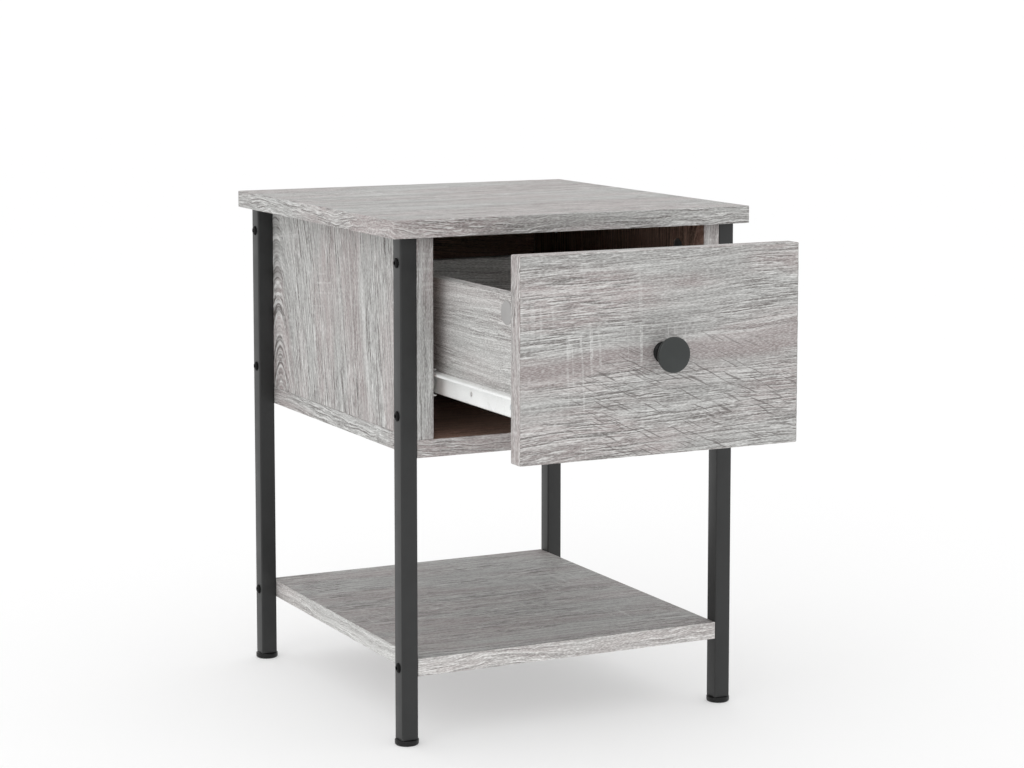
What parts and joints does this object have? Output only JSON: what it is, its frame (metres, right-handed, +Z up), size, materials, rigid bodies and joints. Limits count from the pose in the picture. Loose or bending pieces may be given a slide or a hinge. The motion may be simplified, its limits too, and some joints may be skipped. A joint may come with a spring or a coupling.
{
  "type": "side table with drawer",
  "caption": "Small side table: a square steel tube frame, a wood-look board box with an inset drawer on roller slides, a top and a low shelf.",
  "frame": {"origin": "on the floor, at the middle of the part's own box with the drawer standing 155 mm open, which is 83 mm in front of the middle of the top", "axes": "+X to the right seen from the front, +Y from the drawer's front to the back, +Z up"},
  "size_m": [0.34, 0.526, 0.445],
  "materials": {
    "oak_board": "matt light grey oak decor on particleboard, with edge bands",
    "drawer_board": "matt light grey oak paper decor on thin particleboard",
    "hardboard": "thin hardboard with a grey printed face",
    "black_steel": "fine textured black powder coat",
    "black_plastic": "moulded black plastic",
    "black_screw": "black oxide, slightly glossy",
    "grey_knob": "dark grey satin lacquer on die-cast metal",
    "white_steel": "white enamel",
    "white_plastic": "smooth moulded nylon",
    "zinc": "bright zinc plate",
    "cap_plastic": "thin moulded cover, light grey"
  },
  "bodies": {
    "table": {"leg_front_left": "black_steel", "glide_front_left": "black_plastic", "leg_screw_front_left_upper": "black_screw", "leg_screw_front_left_middle": "black_screw", "leg_screw_front_left_lower": "black_screw", "leg_rear_left": "black_steel", "glide_rear_left": "black_plastic", "leg_screw_rear_left_upper": "black_screw", "leg_screw_rear_left_middle": "black_screw", "leg_screw_rear_left_lower": "black_screw", "leg_front_right": "black_steel", "glide_front_right": "black_plastic", "leg_screw_front_right_upper": "black_screw", "leg_screw_front_right_middle": "black_screw", "leg_screw_front_right_lower": "black_screw", "leg_rear_right": "black_steel", "glide_rear_right": "black_plastic", "leg_screw_rear_right_upper": "black_screw", "leg_screw_rear_right_middle": "black_screw", "leg_screw_rear_right_lower": "black_screw", "top_board": "oak_board", "lower_shelf": "oak_board", "bottom_panel": "oak_board", "back_panel": "oak_board", "side_panel_left": "oak_board", "top_cam_front_left": "zinc", "top_cam_bolt_front_left": "zinc", "top_cam_rear_left": "zinc", "top_cam_bolt_rear_left": "zinc", "side_panel_right": "oak_board", "top_cam_front_right": "zinc", "top_cam_bolt_front_right": "zinc", "top_cam_rear_right": "zinc", "top_cam_bolt_rear_right": "zinc", "cabinet_slide_left": "white_steel", "cabinet_slide_screw_left": "zinc", "cabinet_slide_right": "white_steel", "cabinet_slide_screw_right": "zinc"},
    "drawer": {"drawer_front": "oak_board", "drawer_back": "drawer_board", "drawer_bottom": "hardboard", "drawer_knob": "grey_knob", "drawer_side_left": "drawer_board", "drawer_slide_left": "white_steel", "drawer_slide_screw_left": "zinc", "drawer_cam_left": "zinc", "drawer_cam_cap_left": "cap_plastic", "drawer_cam_bolt_left": "zinc", "drawer_side_right": "drawer_board", "drawer_slide_right": "white_steel", "drawer_slide_screw_right": "zinc", "drawer_cam_right": "zinc", "drawer_cam_cap_right": "cap_plastic", "drawer_cam_bolt_right": "zinc", "knob_screw": "zinc"},
    "cabinet_roller_left": {"cabinet_roller_left": "white_plastic"},
    "cabinet_roller_right": {"cabinet_roller_right": "white_plastic"},
    "drawer_roller_left": {"drawer_roller_left": "white_plastic"},
    "drawer_roller_right": {"drawer_roller_right": "white_plastic"}
  },
  "joints": [
    {"name": "drawer_slide", "type": "slide", "parent": "table", "child": "drawer", "axis": [0, -1, 0], "range_m": [-0.155, 0.07]},
    {"name": "cabinet_roller_left_spin", "type": "hinge", "parent": "table", "child": "cabinet_roller_left", "pos_m": [-0.1231, -0.059, 0.3039], "axis": [1, 0, 0], "continuous": true},
    {"name": "cabinet_roller_right_spin", "type": "hinge", "parent": "table", "child": "cabinet_roller_right", "pos_m": [0.1231, -0.059, 0.3039], "axis": [1, 0, 0], "continuous": true},
    {"name": "drawer_roller_left_spin", "type": "hinge", "parent": "drawer", "child": "drawer_roller_left", "pos_m": [-0.1231, 0.061, 0.3039], "axis": [1, 0, 0], "continuous": true},
    {"name": "drawer_roller_right_spin", "type": "hinge", "parent": "drawer", "child": "drawer_roller_right", "pos_m": [0.1231, 0.061, 0.3039], "axis": [1, 0, 0], "continuous": true}
  ],
  "couplings": [
    {"joint": "cabinet_roller_left_spin", "follows": "drawer_slide", "rad_per_m": 111.11},
    {"joint": "cabinet_roller_right_spin", "follows": "drawer_slide", "rad_per_m": 111.11},
    {"joint": "drawer_roller_left_spin", "follows": "drawer_slide", "rad_per_m": 111.11},
    {"joint": "drawer_roller_right_spin", "follows": "drawer_slide", "rad_per_m": 111.11}
  ]
}
